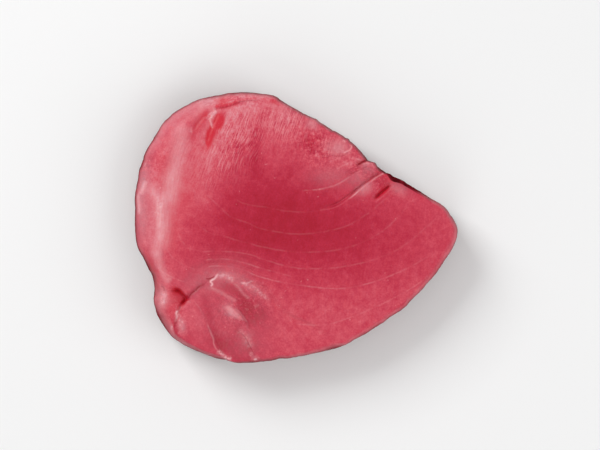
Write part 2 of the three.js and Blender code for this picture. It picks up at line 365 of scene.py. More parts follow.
def steak_vertices():
    """All vertices in millimetres, with their inset from the rim in a fourth column, and the numbers of each
    ring from the upper face's edge down to the lower face's."""
    parts, rings = [], []

    def add(points, height, inset, ring):
        rings.append(sum(map(len, parts)) + ring)
        parts.append(np.column_stack(np.broadcast_arrays(*points.T, height, inset)))

    turn, ring = np.arange(COLUMNS) / COLUMNS, np.arange(COLUMNS)
    upper = gather(face_points(GRID, 1, 0), 1)
    add(upper, face_height(upper), INNER, edge_vertices(GRID))
    for angle in np.linspace(np.pi / 2, 0, SHOULDER_RINGS + 1)[1:]:
        inward = 1 - np.cos(angle)
        points = gather(inside_rim(turn, inward, 0), np.sin(angle))
        height = WAIST + (face_height(points) - WAIST) * np.sin(angle)
        add(points, height, on_rim(turn)[:, 2] * inward, ring)
    for angle in np.linspace(0, np.pi / 2, FOOT_RINGS + 1)[1:-1]:
        inset = FOOT_INSET * (1 - np.cos(angle))
        add(inside_rim(turn, 0, inset), WAIST * (1 - np.sin(angle)), inset, ring)
    add(face_points(LOWER_GRID, 0, FOOT_INSET), 0, INNER, edge_vertices(LOWER_GRID))
    return np.vstack(parts), rings


surface, rings = steak_vertices()
drawn, inset = surface[:, :3], surface[:, 3]
print(len(drawn), "vertices in", len(rings), "rings and two faces")


# %% The faces
def grid_quads(grid):
    """The squares of a grid, each as its four vertices anticlockwise."""
    number = np.arange((grid + 1) ** 2).reshape(grid + 1, grid + 1)
    corners = [number[:-1, :-1], number[1:, :-1], number[1:, 1:], number[:-1, 1:]]
    return np.stack([corner.ravel() for corner in corners], axis=1)


def steak_faces(rings, count):
    """Quads of both grids, the lower one turned over, and of the bands between rings of equal fineness. Then
    the triangles of the last band, whose lower ring has half as many vertices: three for each step."""
    lower = grid_quads(LOWER_GRID)[:, ::-1] + count - (LOWER_GRID + 1) ** 2
    bands = [
        np.column_stack([high, low, np.roll(low, -1), np.roll(high, -1)])
        for high, low in zip(rings, rings[1:-1])
    ]
    first, middle, coarse = rings[-2][0::2], rings[-2][1::2], rings[-1]
    last, coarse_next = np.roll(first, -1), np.roll(coarse, -1)
    fans = [first, coarse, middle, middle, coarse, coarse_next, middle, coarse_next, last]
    return np.vstack([grid_quads(GRID), lower, *bands]), np.column_stack(fans).reshape(-1, 3)


quads, triangles = steak_faces(rings, len(drawn))
print(2 * len(quads) + len(triangles), "triangles")

# %% Fit the surface to the solid's box, in metres
drawn_low, drawn_high = drawn.min(0), drawn.max(0)
stretch = np.array([*((steak_high - steak_low) / (drawn_high - drawn_low))[:2], 1])
shift = (steak_low + steak_high) / 2 - stretch * (drawn_low + drawn_high) / 2
shift[2] = 0
placed = (stretch * drawn + shift) * MM
print("stretched by", np.round(stretch, 4), "and moved by", np.round(shift, 2), "mm")

# %% Put it into Blender
def add_object(name, data):
    """A new object, linked into the scene."""
    made = bpy.data.objects.new(name, data)
    bpy.context.scene.collection.objects.link(made)
    return made


mesh = bpy.data.meshes.new("tuna_flesh")
mesh.vertices.add(len(placed))
mesh.vertices.foreach_set("co", placed.astype(np.float32).ravel())
mesh.loops.add(quads.size + triangles.size)
mesh.loops.foreach_set("vertex_index", np.concatenate([quads.ravel(), triangles.ravel()]).astype(np.int32))
mesh.polygons.add(len(quads) + len(triangles))
loop_starts = np.concatenate([np.arange(0, quads.size, 4), quads.size + np.arange(0, triangles.size, 3)])
mesh.polygons.foreach_set("loop_start", loop_starts.astype(np.int32))
mesh.update(calc_edges=True)
mesh.shade_smooth()
print("mesh is sound:", not mesh.validate())
flesh = add_object("tuna_flesh", mesh)

# %% [markdown]
# ## What the colours follow
#
# The flesh is deep crimson at heart and pales to rose towards the skin. Pale bands of connective tissue run
# through it, blood colours some streaks a vivid red, and the flank keeps a thin darker membrane. Some marks
# are painted light: shade in deep furrows, along creases, beside steps and along the rim, where the membrane
# carries part of it, and sheen in the pale band on the left. Such patches could be painted, but here each is
# a number on every vertex, worked out from the same plan as the shape. The material reads them by name.

# %% Tools for marks
MARK_FADE = 0.15  # the share of a line that each of its ends takes up
plan = drawn[:, :2]


def line_mask(half_width, places):
    """1 on a smooth line, falling off as a hump to 0 away from it, and fading over the line's ends."""
    _, distance, _, share = near_line(smooth_line(places, SEAM_STEPS), plan, 3 * half_width)
    return faded_ends(share, MARK_FADE) * hump(distance, half_width)


def patch_mask(edge, corners):
    """1 inside a convex patch, whose corners run anticlockwise, and 0 outside. It fades over its edge, so
    many millimetres wide: the depth inside is the least distance from any side."""
    corners = np.array(corners)
    ahead = np.roll(corners, -1, axis=0) - corners
    inward = np.stack([-ahead[:, 1], ahead[:, 0]], axis=1) / np.linalg.norm(ahead, axis=1, keepdims=True)
    return smoothstep(np.min(plan @ inward.T - np.sum(corners * inward, axis=1), axis=1), 0, edge)


def covered(name, lines=(), hills=(), patches=()):
    """How far each vertex is covered by marks, from 0 to 1: each covers its share of what the others leave
    bare. A line is (strength, half width, places), a patch is (strength, edge, corners), and a hill is
    (strength, x, y, radius in x, radius in y) and, where it leans, the degrees."""
    bare = np.ones(len(plan))
    for strength, *line in lines:
        bare *= 1 - strength * line_mask(*line)
    for strength, *hill in hills:
        bare *= 1 - strength * bell(plan, *hill)
    for strength, *patch in patches:
        bare *= 1 - strength * patch_mask(*patch)
    print(f"{name}: up to {1 - bare.min():.2f}, {1 - bare.mean():.2f} on average")
    return 1 - bare


# %% How deep the red is
TOP_FOLD = [(-32.4, 47.9), (-30, 47.9), (-27.6, 48.2), (-25, 49), (-22, 50)]
TONE_HILLS = [  # how much deeper (+) or paler (-) the red is, x, y, radius in x, radius in y, lean
    # the broad areas
    (0.42, -12, 4, 27, 21), (-0.12, -38, 24, 9, 13, -15), (0.26, 24, -4, 32, 20), (-0.24, -62, 12, 12, 34),
    (-0.3, -22, 52, 30, 13), (-0.1, -25, 38, 8, 14, -40), (-0.12, 8, 38, 15, 8, 35),
    # the middle
    (0.06, -26, -10, 12, 6), (-0.14, -38, 13, 10, 8), (0.08, -38, -14, 10, 7), (-0.05, -14.4, 11, 7, 6),
    (-0.04, -44, 18, 6, 8),
    # the upper corner
    (-0.05, -37.6, 35, 3, 5, -20), (0.04, -26, 51, 6, 2), (0.12, -22.6, 31, 3, 4, -30),
    (0.2, -19, 51, 9, 1.8, -3), (0.08, -42, 50, 8, 3, 30), (-0.12, -30.4, 27, 5, 5),
    (0.2, -29.6, 43, 2.4, 3.4, -20), (0.05, -29.6, 35, 4, 5), (0.06, -22.4, 43, 6, 6),
    (-0.12, -31, 50.6, 6, 2.4),
    # the straight flank
    (-0.14, 16.4, 32, 4, 3.4), (-0.1, 26, 27, 7, 5), (-0.06, 14, 21, 7, 4), (0.24, -5, 49.4, 6, 2.2, -30),
    (0.28, 5.6, 34.6, 5.4, 3.4, 30), (0.12, 22, 22.6, 4, 1.6, 35), (0.14, 32, 18.6, 2, 3, -20),
    (0.1, 2.6, 42, 3.4, 5), (0.15, 30, 23, 5, 2.4, -38), (-0.2, 27.6, 15, 3.6, 1.8, 35),
    (-0.1, 41, 15, 4, 2.2, -30), (0.14, 36, 17.6, 4, 3), (0.2, 43, 16.4, 5, 2, -32), (-0.06, 18, 28, 5, 5),
    (0.05, 9.6, 31, 6, 6),
    # the round end; its last hill, at the rim, paints the shade where the shoulder slopes away
    (0.04, -53.6, 28, 3, 9, -5), (0.1, -60.5, 4, 3, 14), (0.5, -57.6, -15.6, 2.4, 6, 22),
    (0.3, -56.2, -20, 1.5, 3.4, 15), (0.2, -57.2, 28.6, 2.2, 3.4, -20), (-0.12, -46.4, 19, 3, 8, -12),
    (-0.1, -46.2, 3, 3, 8), (0.16, -59.4, 20.6, 2.4, 4.4, -15), (0.2, -62.8, -3, 1.4, 7),
    # the lobe
    (-0.1, -48.4, -31, 3, 4, 20), (0.12, -24, -49, 12, 4, -10), (0.08, -30, -33, 8, 6),
    (0.1, -38.4, -23, 9, 5), (0.28, -26.8, -23.2, 5.4, 1.9, -24), (0.36, -18.4, -31.6, 6.2, 4, -48),
    (-0.08, -39.4, -37.6, 4, 9, 18), (0.1, -47.6, -43, 1.4, 3, 10), (0.12, -22, -46, 12, 5, -10),
    (0.3, -47.4, -39.6, 1.3, 3, 10), (0.14, -30, -46, 16, 5, -12), (-0.1, -28, -20, 5, 2.4),
    (0.07, -30, -37, 7, 5), (0.16, -14, -37, 5, 6), (-0.07, -13, -25, 5, 6), (0.06, -20, -45, 8, 4),
    (0.14, -46, -45.6, 4, 4), (0.1, -22.6, -26, 3.6, 1.8, -32), (0.12, -19.6, -33.4, 2.4, 4.6, 25),
    (0.08, -16.4, -35, 2.4, 4), (0.14, -22.4, -41, 1.8, 2.4, 20),
]
TONE_LINES = [  # the same along a line: amount, half width and places
    (0.22, 2.3, [(-10.6, 50), (-12.6, 46), (-14.2, 41), (-15.2, 36), (-16, 31), (-16.2, 25), (-15.6, 18)]),
    (-0.14, 1.3, [(-26.6, 46), (-28.4, 41), (-31, 36), (-33.6, 31), (-36, 26)]),
    (0.12, 1.2, [(-20.6, 46), (-22.6, 41), (-25, 35), (-27.6, 29)]),
    # deeper on the dark side of the cleft: painted shade
    (0.18, 1.3, [(-37.6, -25), (-35.4, -31), (-33.6, -37), (-31.8, -42), (-30, -46), (-28, -50)]),
    (0.2, 1.9, [(-33.6, 46.6), (-36.6, 43), (-38.6, 40.6), (-40.6, 37.6), (-42, 34)]),
    (0.28, 0.9, TOP_FOLD),
    # painted shade along the crack
    (0.4, 0.9, [(-44, -29), (-42.3, -27.6), (-41, -26), (-39.6, -25), (-38.6, -23.8), (-37.2, -22.9),
        (-35.6, -21.6)]),
    # the next three darken the rim: painted shade where the shoulder slopes away
    (0.24, 1.4, [(-57, 30), (-60.4, 24), (-62.4, 17), (-63.6, 9), (-63.8, 0), (-62.6, -7)]),
    (0.12, 1.7, [(-52.6, -38.6), (-45.4, -45.4), (-35.4, -50.2), (-28, -52), (-20, -53), (-8, -52)]),
    (0.12, 2.2, [(-4, 48), (6, 43), (14, 38), (21, 33.4), (27, 28.8)]),
    (0.12, 0.8, [(-34.8, 45.2), (-36.6, 43.2), (-38.6, 41.4), (-40.6, 39.4)]),
]
MEAN_TONE = 0.5

tone = MEAN_TONE + sum(amount * bell(plan, *hill) for amount, *hill in TONE_HILLS)
tone += sum(amount * line_mask(*line) for amount, *line in TONE_LINES)
print("tone runs from", round(tone.min(), 2), "to", round(tone.max(), 2))

# %% Where blood makes it vivid
BLOOD_LINES = [
    (0.4, 2.6, [(-28.6, 47), (-29.4, 44), (-30.6, 41.4), (-32.4, 38.6), (-33.6, 36), (-35, 32)]),
    (0.5, 1, TOP_FOLD),
    (0.5, 1.7, [(-31.4, 39), (-33, 36), (-34.4, 33), (-35.6, 30)]),
    (0.3, 1.1, [(-34, 46.6), (-36.4, 43.8), (-38.4, 41.2), (-40.2, 38), (-41.4, 34)]),
    (0.4, 0.9, [(-34.6, 45.6), (-36.4, 43.6), (-38.4, 41.8), (-40.4, 39.8)]),
]
BLOOD_HILLS = [
    (0.45, -37.2, 43, 2.6, 5, -25), (0.75, -28.8, 50, 2.9, 2.2), (0.3, -43, 16, 4, 12, -15),
    (0.4, -57.4, -14, 1.6, 5, 25), (0.7, -8.4, 49.6, 1.8, 1, -30), (0.5, -48, -27.6, 2.8, 3, 25),
    (0.35, -49.6, -31.6, 3, 5, 20), (0.45, 36.6, 19.4, 3, 1.4, -30), (0.35, -52.4, 24, 2.6, 8),
    (0.35, -49, -2, 2.6, 7), (0.15, -47.4, 12, 3, 9), (0.6, -55, -22.6, 0.7, 2.6),
    (0.15, 5.6, 34.6, 4.4, 3.2), (0.9, -47.4, -25.2, 2.4, 1.4, -20), (0.3, 34.6, 14.4, 2.2, 3.4, -45),
]
BLOOD_PATCHES = [
    (0.9, 1.1, [(-31.6, 45.9), (-33, 43), (-33.2, 40.6), (-32, 38.2), (-29.2, 38.4), (-27.9, 41.4),
        (-27.6, 44), (-29.4, 45.8)]),
    (0.9, 1.1, [(-34, 41.2), (-35.8, 38), (-36.2, 35), (-35.8, 32.2), (-34.6, 31), (-32.6, 33.6),
        (-31.2, 37.4), (-31.4, 40.4)]),
]
blood = covered("blood", BLOOD_LINES, BLOOD_HILLS, BLOOD_PATCHES)

# %% Where connective tissue makes it pale, and the painted sheen on the left shoulder
RIM_TEARS = [
    [(-59.4, 18.6), (-60.2, 16.6), (-61.8, 13)],
    [(-62.8, 14), (-62.6, 11), (-62.4, 8.4), (-62.4, 5)],
]
PALE_LINES = [
    # The first six lines are the pale band on the left: pale tissue, and in part painted sheen where the
    # shoulder rounds down to the rim
    (0.47, 3.2, [(-44.4, 41.6), (-45, 38), (-45.8, 32.6), (-46.8, 27.8), (-48.2, 22), (-49, 16), (-50, 8)]),
    (0.35, 2.6, [(-49, 24), (-49.6, 18), (-50.2, 12), (-51, 5), (-51.4, -2), (-52, -10)]),
    (0.5, 2.2, [(-58.4, 17.4), (-56.2, 14), (-54.6, 11), (-53.4, 7), (-53.2, 2.6), (-53.4, -2), (-54.4, -6.4),
        (-55.4, -10), (-56, -13)]),
    (0.25, 1.1, [(-57.6, 18.4), (-56.2, 15), (-54.6, 11.6), (-54, 8.6)]),
    (0.5, 1.1, [(-51.4, 13.4), (-52.4, 10.6), (-53.6, 7), (-54, 2), (-53.8, -3), (-54.4, -7)]),
    (0.42, 1.6, [(-55.2, -8), (-54.2, -14), (-52, -19), (-49.4, -22)]),
    (0.3, 0.7, [(-34.6, -23.4), (-31.6, -24.7), (-28.4, -26.5), (-25.6, -28), (-23, -29.4)]),
    (0.32, 0.5, [(-25, -21.8), (-23, -23.4), (-22, -24.6), (-20.4, -26.6), (-17.8, -28.4)]),
    (0.35, 0.5, [(-44.2, -30.6), (-45.6, -32), (-46.8, -33.6)]),
    (0.6, 0.8, RIM_TEARS[0]),
    (0.5, 0.7, RIM_TEARS[1]),
]
PALE_HILLS = [
    (0.35, -37.4, 48, 1.6, 1.8), (0.15, 16.6, 32.4, 3.6, 2.8), (0.2, 27.6, 15, 3.6, 1.6, 35),
    (0.15, 39.4, 15.4, 3.6, 1.8, -30), (0.15, -3, 46, 6, 2.4, -20), (0.3, 6.4, 41.4, 1.6, 1.6),
    (0.3, -52.6, -27.4, 2.4, 3.8), (0.3, -45.2, -38.6, 1.6, 3.2, 15), (0.2, -19.6, -44, 2.6, 3.4, 20),
    (0.15, -27.4, -31.6, 2.6, 2, -45), (0.15, -28, -20, 8, 4),
]
FLAKES = [
    (0.5, 1.2, [(-29, -31), (-26.2, -35.3), (-22.9, -36.8), (-19.3, -37.4), (-21.3, -34.6), (-23.5, -32.2),
        (-26.2, -30.6)]),
]
pale = covered("pale", PALE_LINES, PALE_HILLS, FLAKES)

# %% Where thin tissue over the flesh greys it
HAZE_HILLS = [
    (0.12, -30, -36, 14, 14), (0.18, -27, -19, 7, 2, -10), (0.2, -18, -24, 6, 3, -30),
    (0.1, -28, -15, 11, 5), (0.2, -45.6, -38.6, 1.8, 3.4, 15), (0.28, 16.6, 31.6, 4.6, 3, 10),
    (0.22, 14, 20, 9, 4), (0.28, -47, 45.6, 11, 3, 36), (0.2, -38, -22, 8, 5),
    (0.45, 26.4, 16.2, 3.6, 1.8, 38), (0.25, 41, 16, 4, 2.4, -30), (0.3, 24.4, 19.6, 3.4, 2, 35),
    (0.4, -61, 4, 3.4, 10), (0.5, -61, 18, 2.6, 7, -15), (0.25, -56.4, 34, 3, 9, -30),
    (0.14, -20, -48, 9, 5, -10), (0.3, -52.6, -28, 2.6, 4), (0.1, -14, -37, 6, 8), (0.15, -54.4, -13, 3, 4),
    (0.12, -38.4, 43, 3, 4), (0.3, 6.4, 41, 2.4, 2), (0.3, -35, 50, 4, 1.6, 30), (0.35, 28, 24, 4.5, 2, -38),
    (0.2, -26.4, -34, 3, 2, -45),
]
haze = covered("haze", hills=HAZE_HILLS)

# %% Where the cut face is torn rather than cut
TORN_HILLS = [
    (0.9, 9, 32, 9, 7, -30), (0.7, 26, 25, 8, 4, -35), (0.6, 34, 18, 8, 4, -30), (0.6, -46, -37, 2.4, 8, 15),
    (0.4, -22, -21, 12, 3, -20), (0.2, -60, 8, 3.4, 20), (0.5, -24, 37, 9, 12, -30), (0.5, -3, 44, 10, 7),
    (0.6, -59.6, 24, 2, 4, -15), (0.85, -25, -34, 7, 5, -45), (0.6, -52, -28, 4, 5), (0.3, -54, 0, 4, 14),
    (0.9, -26, 50.6, 16, 3), (0.8, -17, -30, 7, 5, -45), (0.4, -53, 26, 4, 9), (0.3, -46, 28, 4, 12, -10),
    (0.3, -20, -48, 10, 4, -10),
]
torn = covered("torn", hills=TORN_HILLS)

# %% Where torn tissue leaves white scraps
SCRAP_LINES = [
    (0.6, 0.9, [(-32, -20), (-30.4, -19.2), (-28, -19), (-26.2, -20), (-24.2, -21.4)]),
    (0.45, 0.8, [(-21, -22.6), (-18, -23.2), (-15.6, -24.6), (-13.4, -26.6), (-10, -29)]),
    (0.4, 0.8, RIM_TEARS[0]),
    (0.4, 0.6, RIM_TEARS[1]),
    (0.4, 0.8, [(-55, 12.4), (-54.4, 8), (-54, 3), (-53.6, -1)]),
    (0.3, 0.6, [(-52, 14.6), (-52.8, 11), (-53.8, 7.4)]),
    (1, 0.75, [(-31, -48.6), (-29.4, -50), (-27.6, -51.6), (-25, -52.2)]),
    (0.95, 1.1, [(-31.4, 46.6), (-32.4, 45.8), (-33.2, 44.8), (-33.8, 43.6), (-34, 42.6)]),
    (0.35, 0.5, [(-34, 43.6), (-33.8, 42.6), (-33.5, 41.2), (-33, 40)]),
    (0.4, 0.5, [(24.8, 25.4), (28, 25.6), (31, 25)]),
    (0.35, 1.1, [(-23, -40.4), (-20.6, -42.6), (-18.8, -45), (-17.8, -48)]),
]
SCRAP_HILLS = [
    (1, -16, -52.2, 1.2, 1), (0.8, -17.6, -50.2, 0.6, 0.8), (0.9, -20.8, -22, 1, 0.4),
    (0.6, -17.6, -21.3, 0.6, 0.3), (1, -49.2, -39.6, 0.5, 1), (0.5, -52.2, -28.4, 1.5, 2.8),
    (0.7, -52.6, -29.6, 1, 0.7), (0.6, -51.8, -26.4, 0.8, 0.4), (0.6, 19, 34.2, 0.7, 0.6),
    (0.2, -15.4, -31, 0.7, 0.9), (0.6, -41.2, 38.4, 0.4, 0.8), (0.5, -60, 25, 0.5, 1.6, -20),
    (0.9, -46.9, -33.7, 0.5, 0.45), (0.9, -47.2, -34.9, 0.35, 0.5), (0.8, -46.3, -34.3, 0.35, 0.5),
    (0.8, -46, -36.8, 0.4, 0.45), (0.6, -47.4, -36.8, 0.4, 0.35), (0.6, -45.8, -38.8, 0.4, 0.6),
    (0.6, -44.8, -37.4, 0.35, 0.5), (0.5, -45, -40.4, 0.4, 0.4), (0.5, -46.2, -41.6, 0.35, 0.5),
    (0.4, -54.6, 12, 0.8, 0.6), (0.7, -53.6, 8.6, 1, 1.1), (0.6, -54.8, 6, 1.3, 1.1),
]
scraps = covered("scraps", SCRAP_LINES, SCRAP_HILLS)

# %% Painted shade where a furrow is deep, and in the throats of the gap and of the gashes
THROAT_SHADES = [
    (0.3, -46, -26, 2, 0.7, -40), (0.95, -44.6, -29.4, 1.2, 2, -30), (0.7, 34.4, 14.2, 0.9, 1.6, -45),
    (0.9, 28, 26.8, 1.1, 0.5, 30),
]
SHADE_DEPTHS = (0.6, 1.8)  # depths at which the painted shade of a furrow begins and is darkest

furrows = sum(parting(plan, *seam)[1] for seam in SEAMS.values())
cavity = 1 - (1 - smoothstep(furrows, *SHADE_DEPTHS)) * (1 - covered("throats", hills=THROAT_SHADES))

# %% [markdown]
# ## The membrane of the flank, and painted shade along the rim
#
# A thin dark membrane stays on the flank, the outside of the loin. On top it thins out and ends in an uneven
# border near the rim. Where it reaches further in, it is painted shade: the dark line along the rim and the
# dark wedge at the upper right. It could be a second object, but it is thinner than a hair, so a number on
# every vertex tells the material how much of it, with its painted shade, is left.

# %% How much membrane is left, and how far it paints the shade along the rim
MEMBRANE_SHADE_WIDE = [  # x, y, radius, and how much further in (or, with a minus sign, less far) it reaches there; further in, it paints the shade of the shoulder and the dark wedge at the upper right
    (37.2, 21.8, 4, 1.3), (42.6, 18.2, 5, 2.5), (48, 15.4, 4, 0.6), (-59.6, -13.6, 6, 0.8),
    (-7.4, 50.6, 4, 0.3), (28.8, 26.4, 1.4, 0.6), (-61, 26, 6, 0.3), (-57.5, -28, 6, -1),
    (-48, -44, 9, -0.8), (-64, 4, 10, 0.2), (16, 38, 26, 0.5), (50, 10, 20, 0.3), (-22, 54, 14, 0.5),
    (-14, -54, 10, 0.7), (20, -46, 24, 0.3),
]
MEMBRANE_SHADE_NOISE = [(7, 0.16, 31), (2.2, 0.14, 32)]
MEMBRANE_SHADE_EDGE = (-0.8, 1.6)  # insets between which it ends on top
MEMBRANE_FOOT = (2.4, 3.6)  # and on the foot
MEMBRANE_SHADE_RISE = 7  # millimetres above the waist over which it thins out
RISE_NOISE = [(3, 0.35, 33)]
RISE_GAIN = 0.7  # how much sooner it thins out where it reaches less far
RISE_LEAST = 0.2
MARKS_END = THICKNESS - 3  # below this height the marks of torn tissue fade, down to the waist

reach = sum(further * bell(plan, x, y, radius, radius) for x, y, radius, further in MEMBRANE_SHADE_WIDE)
reach += layered_noise(plan, MEMBRANE_SHADE_NOISE)
height = drawn[:, 2]
rise = MEMBRANE_SHADE_RISE * (1 + layered_noise(plan, RISE_NOISE)) * np.clip(1 + RISE_GAIN * reach, RISE_LEAST, 1)
upper_membrane_and_rim_shade = 1 - smoothstep(inset - reach, *MEMBRANE_SHADE_EDGE) * smoothstep(height - WAIST, 0, rise)
flank = np.where(height > WAIST, upper_membrane_and_rim_shade, 1 - smoothstep(inset, *MEMBRANE_FOOT))
on_top = smoothstep(height, WAIST, MARKS_END)
print("the membrane covers", round(100 * np.mean(flank > 0.5)), "% of the vertices")

# %% [markdown]
# ## Hairlines
#
# The nested layers show on the cut as thin pale arcs, torn scraps curl up as thin white ones, and closed
# furrows and cracks get thin dark ones, which are painted shade. Two of the pale arcs are painted highlights
# on the lit edge of a step. All are about as fine as the mesh, so a mask on the vertices would come out
# beaded. Each vertex stores its signed distance from the nearest line of each kind instead, and the material
# turns that into a sharp line.

# %% The three kinds of hairline
SHEETS_AND_HIGHLIGHTS = [  # strength and places of the pale arcs
    (0.1, [(-24, 11.4), (-21.2, 9.8), (-16.4, 8.6), (-12.8, 8.2), (-4.4, 6.6), (5.6, 6.2), (15.6, 8)]),
    (0.14, [(-37, 16), (-35.2, 13), (-30, 8.2), (-26.8, 5), (-23.6, 3.4), (-18.8, 1.8), (-13.2, -0.6),
        (1.6, -2.6), (17.6, -0.2), (27.6, 5), (34.4, 10.6), (42.4, 17)]),
    (0.16, [(-40, 4), (-38.4, 1), (-34, -2.2), (-30, -3), (-23.6, -5), (-17.2, -6.6), (-12.8, -7.8),
        (1.6, -9.8), (19.6, -8.2), (33.6, -1.8), (43.6, 7.8), (52, 15)]),
    (0.2, [(-48, 2), (-46.2, -2.6), (-44.6, -5.8), (-42.2, -8.2), (-36.4, -9.4), (-30.8, -9.4), (-23.6, -9.8),
        (-17.2, -11), (-12.8, -12.6), (1.6, -16.2), (21.6, -15), (39.6, -9), (53.6, 2.2), (60, 9)]),
    (0.16, [(-53, -2), (-51.4, -7), (-49.4, -11), (-46.6, -13.4), (-43.4, -15.4), (-39, -17)]),
    (0.35, [(-56, -14), (-53.4, -17), (-49, -19.6), (-44.4, -21.4), (-40, -23)]),
    (0.32, [(-38.4, -18.4), (-34.8, -15.8), (-30.8, -15.2), (-25.2, -15.6), (-20.4, -17), (-14, -19.6),
        (0, -22.6), (20, -24), (40, -18), (58, -8)]),
    (0.28, [(-36, -13), (-33.2, -12.6), (-26.8, -12.6), (-20.4, -14), (-13.6, -16.2), (0, -19.8)]),
    (0.35, [(2, 14.6), (8, 15), (13.6, 16.2), (16.8, 17.4), (19.6, 19), (22.4, 21), (24.8, 22.8)]),
    # painted highlight on the lit lip of the flake step; the crease at its foot is painted shade
    (0.9, [(20, 10.6), (24.4, 14.2), (26.6, 16.2), (29, 18), (31.2, 19.5), (33.6, 20.9), (36, 22)]),
    # painted highlight on the lit side of the cleft
    (0.5, [(-35, -38), (-34.2, -40.2), (-33.4, -42.2), (-32.6, -44.2), (-32.2, -46.6), (-30.4, -49.4)]),
    (0.15, [(-40.2, -29), (-37.6, -32.6), (-36, -36)]),
    (0.8, [(-20.4, 51.7), (-16.6, 51.9), (-12.6, 51.6)]),
    (0.25, [(-2, -38), (12, -38.4), (28, -33), (44, -25), (54, -18)]),
    (0.4, [(16, 23), (18.4, 24.4), (22, 26.2)]),
    (0.7, [(-44.4, -31), (-43.4, -29.6), (-41.6, -28.9)]),
]
CREASE_SHADES = [  # strength and places of the dark ones, painted shade
    (0.8, [(-43, -28.4), (-42.3, -27.6), (-41, -26), (-39.6, -25), (-38.6, -23.8), (-37.2, -22.9)]),
    (0.35, [(-38, -23.4), (-36.6, -22.6), (-35.2, -21.4), (-34, -21)]),
    (0.9, [(-35.6, -20.3), (-34.2, -20.4), (-33, -20), (-32, -19.2)]),
    (0.3, [(-33.2, -40.6), (-32, -42.8), (-31.2, -45.4), (-30, -47.8), (-28.4, -50.4)]),
    (0.4, [(-22.6, -31.6), (-21.6, -33.4), (-20, -35.6), (-18.6, -37.6), (-18.4, -40.6)]),
    (0.4, [(-21.6, -41.8), (-19.8, -44), (-18.2, -47), (-16.8, -50)]),
    (0.3, [(-45.4, -30.6), (-46, -32.8), (-45.9, -35), (-47.2, -37.6), (-48, -40.4), (-47.8, -43)]),
    (0.35, [(-32, 47.1), (-29.6, 47.4), (-26.4, 48.1), (-24, 49.1), (-21.2, 50), (-17.6, 50.4),
        (-13.6, 50.7)]),
    (0.9, [(21, 12.6), (22.6, 14), (25.6, 16.5), (28.4, 18.5), (30.8, 20.2), (33.4, 21.6)]),
    (1, [(25.4, 26), (26.8, 26.2), (28.4, 26.8), (30, 27.6)]),
    (0.5, [(32, 12), (34, 14), (35.4, 15.2), (37.4, 16.8)]),
    (0.35, [(20, 22), (22.4, 23.6), (25, 25), (27, 26)]),
    (0.5, [(-53.6, -23.4), (-52.6, -23.6), (-52, -24.4), (-52.2, -25.2)]),
    (0.35, [(-27.6, -26.4), (-24.4, -27.6), (-22, -29.4), (-19.4, -30.4)]),
    (0.5, [(21.2, 21.2), (23.4, 22), (26, 23.4), (28.4, 24.4)]),
    (0.4, [(15, 28.4), (18.4, 28.4), (20.6, 30)]),
    (0.2, [(-39, -16.4), (-35, -14.2), (-28, -13.7), (-22, -14.8), (-14, -18)]),
    (0.2, [(-36, -11.4), (-30, -11), (-24, -11.2), (-17, -12.6), (-12, -14.4)]),
]
CURLS = [  # strength and places of the white ones
    (0.95, [(-33.9, -23.3), (-33.1, -22.8), (-33.1, -22.2), (-33.7, -21.5), (-33.2, -20.9), (-32.2, -20.4),
        (-31.5, -19.4), (-30.6, -18.2)]),
    (0.4, [(-33.8, 43.4), (-33.7, 42), (-33.3, 40.4), (-33, 39.4)]),
    (0.4, [(-21.6, -22), (-19.6, -22.2), (-18, -21.6)]),
    (0.15, [(-24, -31.8), (-22.4, -33.4), (-20.8, -35.4), (-19.2, -37.6)]),
    (0.4, [(21.6, 33), (21.9, 31.8), (21, 30.6), (18.4, 29.4)]),
    (0.9, [(-46.8, -32.8), (-47.2, -34), (-46.8, -35), (-47.2, -36.4)]),
]
LINE_WHOLE, LINE_REACH = 0.9, 1.3  # distances between which a line's strength fades to nothing
LINE_FADE = 0.12  # the share of a line that each of its ends takes up


def nearest_hairlines(lines):
    """The signed distance from the nearest line, in millimetres, and that line's strength."""
    offset, strength = np.full(len(plan), LINE_REACH), np.zeros(len(plan))
    for line_strength, places in lines:
        _, distance, signed, share = near_line(smooth_line(places, SEAM_STEPS), plan, LINE_REACH)
        closer = distance < abs(offset)
        faded = line_strength * faded_ends(share, LINE_FADE) * smoothstep(-distance, -LINE_REACH, -LINE_WHOLE)
        offset[closer], strength[closer] = signed[closer], faded[closer]
    return offset, strength


HAIRLINES = {"sheet": SHEETS_AND_HIGHLIGHTS, "crease": CREASE_SHADES, "curl": CURLS}
hairlines = {name: nearest_hairlines(lines) for name, lines in HAIRLINES.items()}
print("hairlines:", len(SHEETS_AND_HIGHLIGHTS), "pale,", len(CREASE_SHADES), "dark,", len(CURLS), "white")

# %% [markdown]
# ## The run of the fibres
#
# In the upper part the fibres spread a little like a fan, with a soft sway. In the lobe they run straight
# down to the right, and in the sheath of tissue at the round end they follow the rim. A picture of fibres
# couldn't turn with them, but a noise that is squeezed across them and stretched along them can. For that
# every vertex stores how far across and along the fibres it lies.

# %% Across and along the fibres, in millimetres
FAN_FOCUS = np.array([121.0, 406.0])
FAN_RADIUS = 400  # at this distance from the focus, across is true to size
FAN_SWAY = [(9, 0.9, 41)]
LOBE_LEAN = np.radians(-55)
LOBE_BORDER = [(-60, -18), (-46, -24), (-34, -20), *SEAMS["lobe"][4][1:]]
LOBE_BLEND = 1.5  # millimetres on either side of the border
SHEATH = [  # the line in its middle
    (-38, 52), (-44, 44), (-48, 33), (-51, 22), (-53, 10), (-53.4, 0), (-55, -10), (-54, -17), (-48, -26),
]
SHEATH_LENGTH = 84
SHEATH_EDGE = (7, 12)  # distances from its line between which the sheath ends

